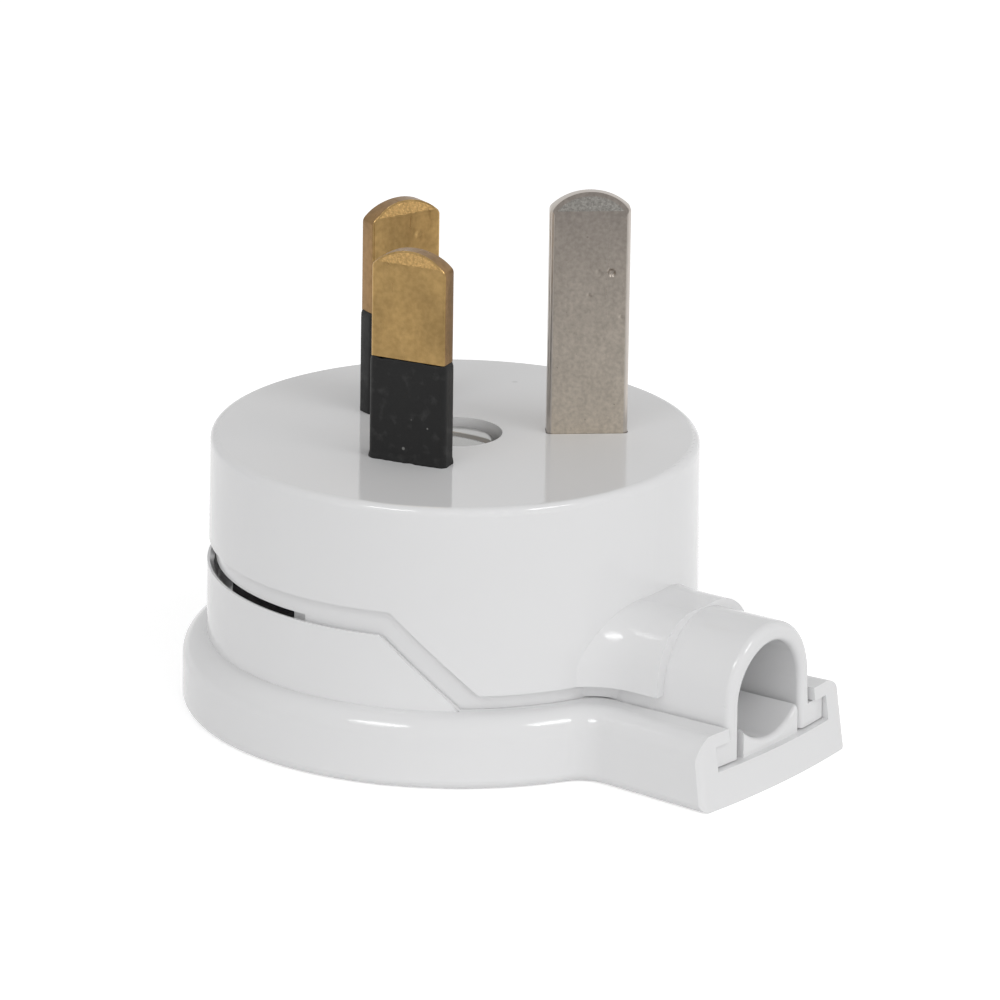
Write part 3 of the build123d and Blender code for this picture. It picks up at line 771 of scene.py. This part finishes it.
def worn_blade(name, sizes, edge_round, bare_from, dents):
    """A flat pin with uneven faces, a rough bevelled tip and a few dents."""
    seat, slot = pins[name]
    low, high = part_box(name + "_pin")
    top = high[2]
    bevel_length = sizes.tip_bevel_length if name == "earth" else sizes.line_bevel_length
    bm = blade_body(sizes, top - bare_from, edge_round, bevel_length)
    bmesh.ops.translate(bm, verts=bm.verts, vec=(0.0, 0.0, bare_from))
    if name == "earth":
        carry_down(bm, bare_from - low[2])
    else:
        waist_x = 1.0 - 2 * sizes.sleeve_wall / sizes.blade_width
        waist_y = 1.0 - 2 * sizes.sleeve_wall / sizes.blade_thickness
        sleeve_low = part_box(name + "_sleeve")[0][2]
        carry_down(bm, bare_from - sleeve_low, waist_x, waist_y)
        carry_down(bm, sleeve_low - low[2], 1.0 / waist_x, 1.0 / waist_y)
    tip = top - bevel_length
    half = sizes.blade_width / 2
    slices(bm, (0, 0, 1), bare_from + 0.1 * MM, tip, sizes.blade_step)
    slices(bm, (0, 0, 1), tip + 0.03 * MM, top - 0.05 * MM, sizes.tip_step)
    slices(bm, (1, 0, 0), edge_round - half + 0.05 * MM, half - edge_round, sizes.tip_step)
    bm.normal_update()
    face_limit = 0.95 if name == "earth" else 0.5
    for face in bm.faces:
        if face.material_index != TIP and abs(face.normal.y) < face_limit:
            face.material_index = SIDES
    seed = noise_start()
    wavy_from = max(bare_from, pin_face_height) + 0.05 * MM
    for vert in bm.verts:
        if vert.co.z < wavy_from:
            continue
        fine = noise.noise(vert.co / FILED_GRAIN + seed) * sizes.tip_roughness
        stretched = Vector((vert.co.x, vert.co.y, vert.co.z * 0.45))
        broad = noise.noise(stretched / ROLLED_GRAIN + seed) * sizes.blade_waviness
        flat = 1.0 if abs(vert.normal.x) < 0.2 and abs(vert.normal.z) < 0.3 else 0.0
        bevelled = 1.0 if any(face.material_index == TIP for face in vert.link_faces) else 0.0
        depth = broad * flat + fine * bevelled
        for x, z, radius, deep in dents:
            gap = math.hypot(vert.co.x - x * MM, vert.co.z - z * MM) / (radius * MM)
            if gap < 1.0:
                depth -= deep * MM * (1.0 - gap ** 2)
        vert.co += vert.normal * depth
    bm.transform(seat)
    blade = new_piece(name + "_blade", bm, slot, name + "_pin", 35.0)
    blade.data.materials.append(finish(slot + "_sides"))
    blade.data.materials.append(finish(slot + "_tip"))
    return blade


def moulded_sleeve(name, sizes):
    """A black sleeve whose top edge is wavy and whose foot swells a little where it meets the face."""
    seat = pins[name][0]
    bm = merged_copy(name + "_sleeve")
    bm.transform(seat.inverted())
    top = max(vert.co.z for vert in bm.verts)
    half = sizes.blade_width / 2
    slices(bm, (0, 0, 1), pin_face_height + 0.05 * MM, pin_face_height + 1.2 * MM, 0.15 * MM)
    slices(bm, (0, 0, 1), pin_face_height + 1.5 * MM, top - 0.4 * MM, 0.6 * MM)
    slices(bm, (0, 0, 1), top - 0.3 * MM, top - 0.1 * MM, 0.1 * MM)
    slices(bm, (1, 0, 0), -half + 0.3 * MM, half - 0.3 * MM, 0.2 * MM)
    bmesh.ops.remove_doubles(bm, verts=bm.verts, dist=CUT_MERGE)
    bm.normal_update()
    seed = noise_start()
    for vert in bm.verts:
        if vert.co.z < pin_face_height:
            continue
        wave = 0.5 + noise.noise(Vector((vert.co.x, vert.co.y, 0.0)) / WAVE_LENGTH + seed)
        near_top = max(0.0, 1.0 - (top - vert.co.z) / TOP_BAND)
        vert.co.z -= sizes.sleeve_wave * wave * near_top
        if abs(vert.co.y) < sizes.blade_thickness / 2 - 0.1 * MM and abs(vert.co.x) < half - 0.1 * MM:
            continue
        swell = max(0.0, 1.0 - abs(vert.co.z - pin_face_height) / FOOT_BAND)
        lump = 0.5 + noise.noise(vert.co / LUMP_LENGTH + seed)
        outward = vert.normal * (lump * swell * sizes.foot_swell + (1.0 - near_top) * sizes.sleeve_swell)
        vert.co += Vector((outward.x, outward.y, 0.0))
    bm.transform(seat)
    return new_piece(name + "_insulation", bm, "sleeve_plastic", name + "_sleeve", 40.0)


def domed_screw(sizes):
    """The middle screw with its slotted head domed and turned to where it was left, the faces in its slot
    painted darker as shade.
    """
    bm = merged_copy("assembly_screw")
    top = max(vert.co.z for vert in bm.verts)
    radius = max(math.hypot(vert.co.x, vert.co.y) for vert in bm.verts)
    for way in ((1, 0, 0), (0, 1, 0)):
        slices(bm, way, -radius + 0.2 * MM, radius - 0.2 * MM, 0.35 * MM)
    bmesh.ops.remove_doubles(bm, verts=bm.verts, dist=CUT_MERGE)
    for face in bm.faces:
        # Faces in the slot take the darker slot finish: painted shade.
        middle = face.calc_center_median()
        in_slot = top - 0.95 * MM < middle.z < top - 0.02 * MM and abs(middle.y) < 0.47 * MM
        if in_slot and abs(face.normal.x) < 0.5:
            face.material_index = SLOT_SHADE
    for vert in bm.verts:
        out = math.hypot(vert.co.x, vert.co.y) / radius
        if vert.co.z > top - sizes.dome_from:
            vert.co.z += sizes.head_lift + sizes.screw_dome * (1.0 - out * out)
    bm.transform(Matrix.Rotation(sizes.screw_turn, 4, "Z"))
    screw = new_piece("middle_screw", bm, "screw_steel", "assembly_screw", 35.0)
    screw.data.materials.append(finish("screw_slot"))
    return screw


class ANGLED_PLUG_OT_mouldings(bpy.types.Operator):
    """Gives the pin housing, the back cover and the cord grip their glossy white finish"""

    bl_idname = "angled_plug.mouldings"
    bl_label = "White mouldings"

    def execute(self, context):
        paint_nodes(["pin_housing"], "housing_plastic")
        paint_nodes(["back_cover"], "cover_plastic")
        paint_nodes(["cord_grip"], "grip_plastic")
        return {"FINISHED"}


class ANGLED_PLUG_OT_pins(bpy.types.Operator):
    """Finishes the three flat pins and their sleeves"""

    bl_idname = "angled_plug.pins"
    bl_label = "Flat pins"

    def execute(self, context):
        sizes = context.scene.plug_sizes
        random.seed(4)
        earth_from = pin_face_height - 1.0 * MM
        line_from = pin_face_height + sizes.sleeve_length
        worn_blade("earth", sizes, sizes.earth_edge_round, earth_from, EARTH_DENTS)
        worn_blade("active", sizes, sizes.line_edge_round, line_from, ACTIVE_DENTS)
        worn_blade("neutral", sizes, sizes.line_edge_round, line_from, NEUTRAL_DENTS)
        moulded_sleeve("active", sizes)
        moulded_sleeve("neutral", sizes)
        return {"FINISHED"}


class ANGLED_PLUG_OT_fittings(bpy.types.Operator):
    """Finishes the terminals, the insert and the screws"""

    bl_idname = "angled_plug.fittings"
    bl_label = "Terminals and screws"

    def execute(self, context):
        terminals = [name + "_terminal" for name in pins]
        paint_nodes(terminals + ["threaded_insert"], "terminal_brass")
        screws = ("terminal_screw", "screw_left", "screw_right")
        paint_nodes([name for name in frame["nodes"] if name.endswith(screws)], "screw_steel")
        domed_screw(context.scene.plug_sizes)
        return {"FINISHED"}


def around(bearing, elevation, distance):
    """A point seen from the origin at a bearing from X and an elevation, in degrees."""
    turn = math.radians(bearing)
    lift = math.radians(elevation)
    reach = math.cos(lift)
    return Vector((math.cos(turn) * reach, math.sin(turn) * reach, math.sin(lift))) * distance


def soft_light(name, bearing, elevation, power):
    """A large rectangular lamp that stands round the plug and points at its middle."""
    lamp = bpy.data.lights.new(name, "AREA")
    lamp.shape = "RECTANGLE"
    lamp.size = LIGHT_WIDTH
    lamp.size_y = LIGHT_HEIGHT
    lamp.energy = power
    holder = add_object(name, lamp)
    holder.location = around(bearing, elevation, LIGHT_DISTANCE)
    holder.rotation_euler = (LIGHT_AIM - holder.location).to_track_quat("-Z", "Y").to_euler()


def make_camera(stage):
    """The camera of the photograph."""
    data = bpy.data.cameras.new("camera")
    data.sensor_width = 36.0
    data.lens = stage.lens
    data.clip_start = 0.01
    holder = add_object("camera", data)
    turn = Matrix.Rotation(stage.camera_bearing + math.pi / 2, 4, "Z")
    tilt = Matrix.Rotation(math.pi / 2 - stage.camera_elevation, 4, "X")
    roll = Matrix.Rotation(stage.camera_roll, 4, "Z")
    back = Matrix.Translation((0.0, 0.0, stage.camera_distance))
    holder.matrix_world = Matrix.Translation(Vector(stage.camera_aim)) @ turn @ tilt @ roll @ back
    bpy.context.scene.camera = holder


def make_floor(bearing):
    """A pale floor that takes the plug's soft shadow, dimmer on the camera's side."""
    bm = bmesh.new()
    bmesh.ops.create_circle(bm, cap_ends=True, segments=96, radius=2.5)
    mesh = bpy.data.meshes.new("floor")
    bm.to_mesh(mesh)
    bm.free()
    made, tree, shader, place = start_material("floor_paint", Roughness=0.9)
    shader.inputs["Base Color"].default_value = grey(0.86)
    seen, mirrored = ray_kinds(tree)
    forward = along(tree, place, Vector((math.cos(bearing), math.sin(bearing), 0.0)))
    beside = spread(tree, forward, 0.02, 0.07, 0.45, 0.0)
    shader.inputs["Emission Color"].default_value = grey(1.0)
    glow = math_node(tree, "MULTIPLY", seen, 0.5)
    glow = math_node(tree, "ADD", glow, math_node(tree, "MULTIPLY", mirrored, beside))
    feed(tree, shader.inputs["Emission Strength"], glow)
    mesh.materials.append(made)
    floor = add_object("floor", mesh)
    floor.location = (0.0, 0.0, cad_box[0][2] - 0.01 * MM)


def make_sky(stage):
    """Even light all round: dim overhead, bright low down and in front, and white to the camera."""
    world = bpy.data.worlds.new("sky")
    world.use_nodes = True
    tree = world.node_tree
    back = tree.nodes["Background"]
    way = new_node(tree, "ShaderNodeTexCoord").outputs["Generated"]
    part = new_node(tree, "ShaderNodeSeparateXYZ")
    feed(tree, part.inputs[0], way)
    low = math_node(tree, "SUBTRACT", 1.0, part.outputs[2])
    toward = along(tree, way, around(stage.front_bearing, 8.0, 1.0))
    front = math_node(tree, "POWER", math_node(tree, "MAXIMUM", toward, 0.0), 2.0)
    light = math_node(tree, "ADD", stage.sky_top, math_node(tree, "MULTIPLY", low, stage.sky_low))
    light = math_node(tree, "ADD", light, math_node(tree, "MULTIPLY", front, stage.sky_front))
    seen, mirrored = ray_kinds(tree)
    behind = along(tree, way, around(math.degrees(stage.camera_bearing) + 180.0, 0.0, 1.0))
    backdrop = spread(tree, behind, -0.7, 0.2, stage.mirror_front, 0.86)
    for bearing, elevation in (KEY_PLACE, FILL_PLACE):
        lamp = along(tree, way, around(bearing, elevation, 1.0))
        spot = spread(tree, lamp, math.cos(GLARE_EDGE), math.cos(GLARE_CORE), 0.0, stage.glare)
        backdrop = math_node(tree, "ADD", backdrop, spot)
    light = spread(tree, mirrored, 0.0, 1.0, light, backdrop)
    back.inputs["Color"].default_value = grey(1.0)
    feed(tree, back.inputs["Strength"], spread(tree, seen, 0.0, 1.0, light, 1.0))
    bpy.context.scene.world = world


class ANGLED_PLUG_OT_stage(bpy.types.Operator):
    """Makes the floor, the lights and the camera"""

    bl_idname = "angled_plug.stage"
    bl_label = "Stage"

    def execute(self, context):
        stage = context.scene.plug_stage
        make_floor(stage.camera_bearing)
        make_sky(stage)
        make_camera(stage)
        soft_light("key_light", *KEY_PLACE, stage.key_power)
        soft_light("fill_light", *FILL_PLACE, stage.fill_power)
        context.scene.view_settings.view_transform = "Standard"
        return {"FINISHED"}


class ANGLED_PLUG_PT_panel(bpy.types.Panel):
    """Lists the steps that make the plug"""

    bl_label = "Angled plug"
    bl_space_type = "VIEW_3D"
    bl_region_type = "UI"
    bl_category = "Angled plug"

    def draw(self, context):
        for step in steps:
            self.layout.operator(step)
        for group in (context.scene.plug_sizes, context.scene.plug_colours, context.scene.plug_stage):
            for name in group.__annotations__:
                self.layout.prop(group, name)


steps = ["angled_plug.mouldings", "angled_plug.pins", "angled_plug.fittings", "angled_plug.stage"]
classes = [
    PlugSizes,
    PlugColours,
    PlugStage,
    ANGLED_PLUG_OT_mouldings,
    ANGLED_PLUG_OT_pins,
    ANGLED_PLUG_OT_fittings,
    ANGLED_PLUG_OT_stage,
    ANGLED_PLUG_PT_panel,
]


def register():
    """Adds the classes and the plug's values to the scene."""
    for kind in classes:
        bpy.utils.register_class(kind)
    bpy.types.Scene.plug_sizes = bpy.props.PointerProperty(type=PlugSizes)
    bpy.types.Scene.plug_colours = bpy.props.PointerProperty(type=PlugColours)
    bpy.types.Scene.plug_stage = bpy.props.PointerProperty(type=PlugStage)


def unregister():
    """Takes them away again."""
    del bpy.types.Scene.plug_stage
    del bpy.types.Scene.plug_colours
    del bpy.types.Scene.plug_sizes
    for kind in reversed(classes):
        bpy.utils.unregister_class(kind)


def main():
    """Makes the plug's looks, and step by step."""
    register()
    for step in steps:
        group, name = step.split(".")
        getattr(getattr(bpy.ops, group), name)()


if __name__ == "__main__":
    main()
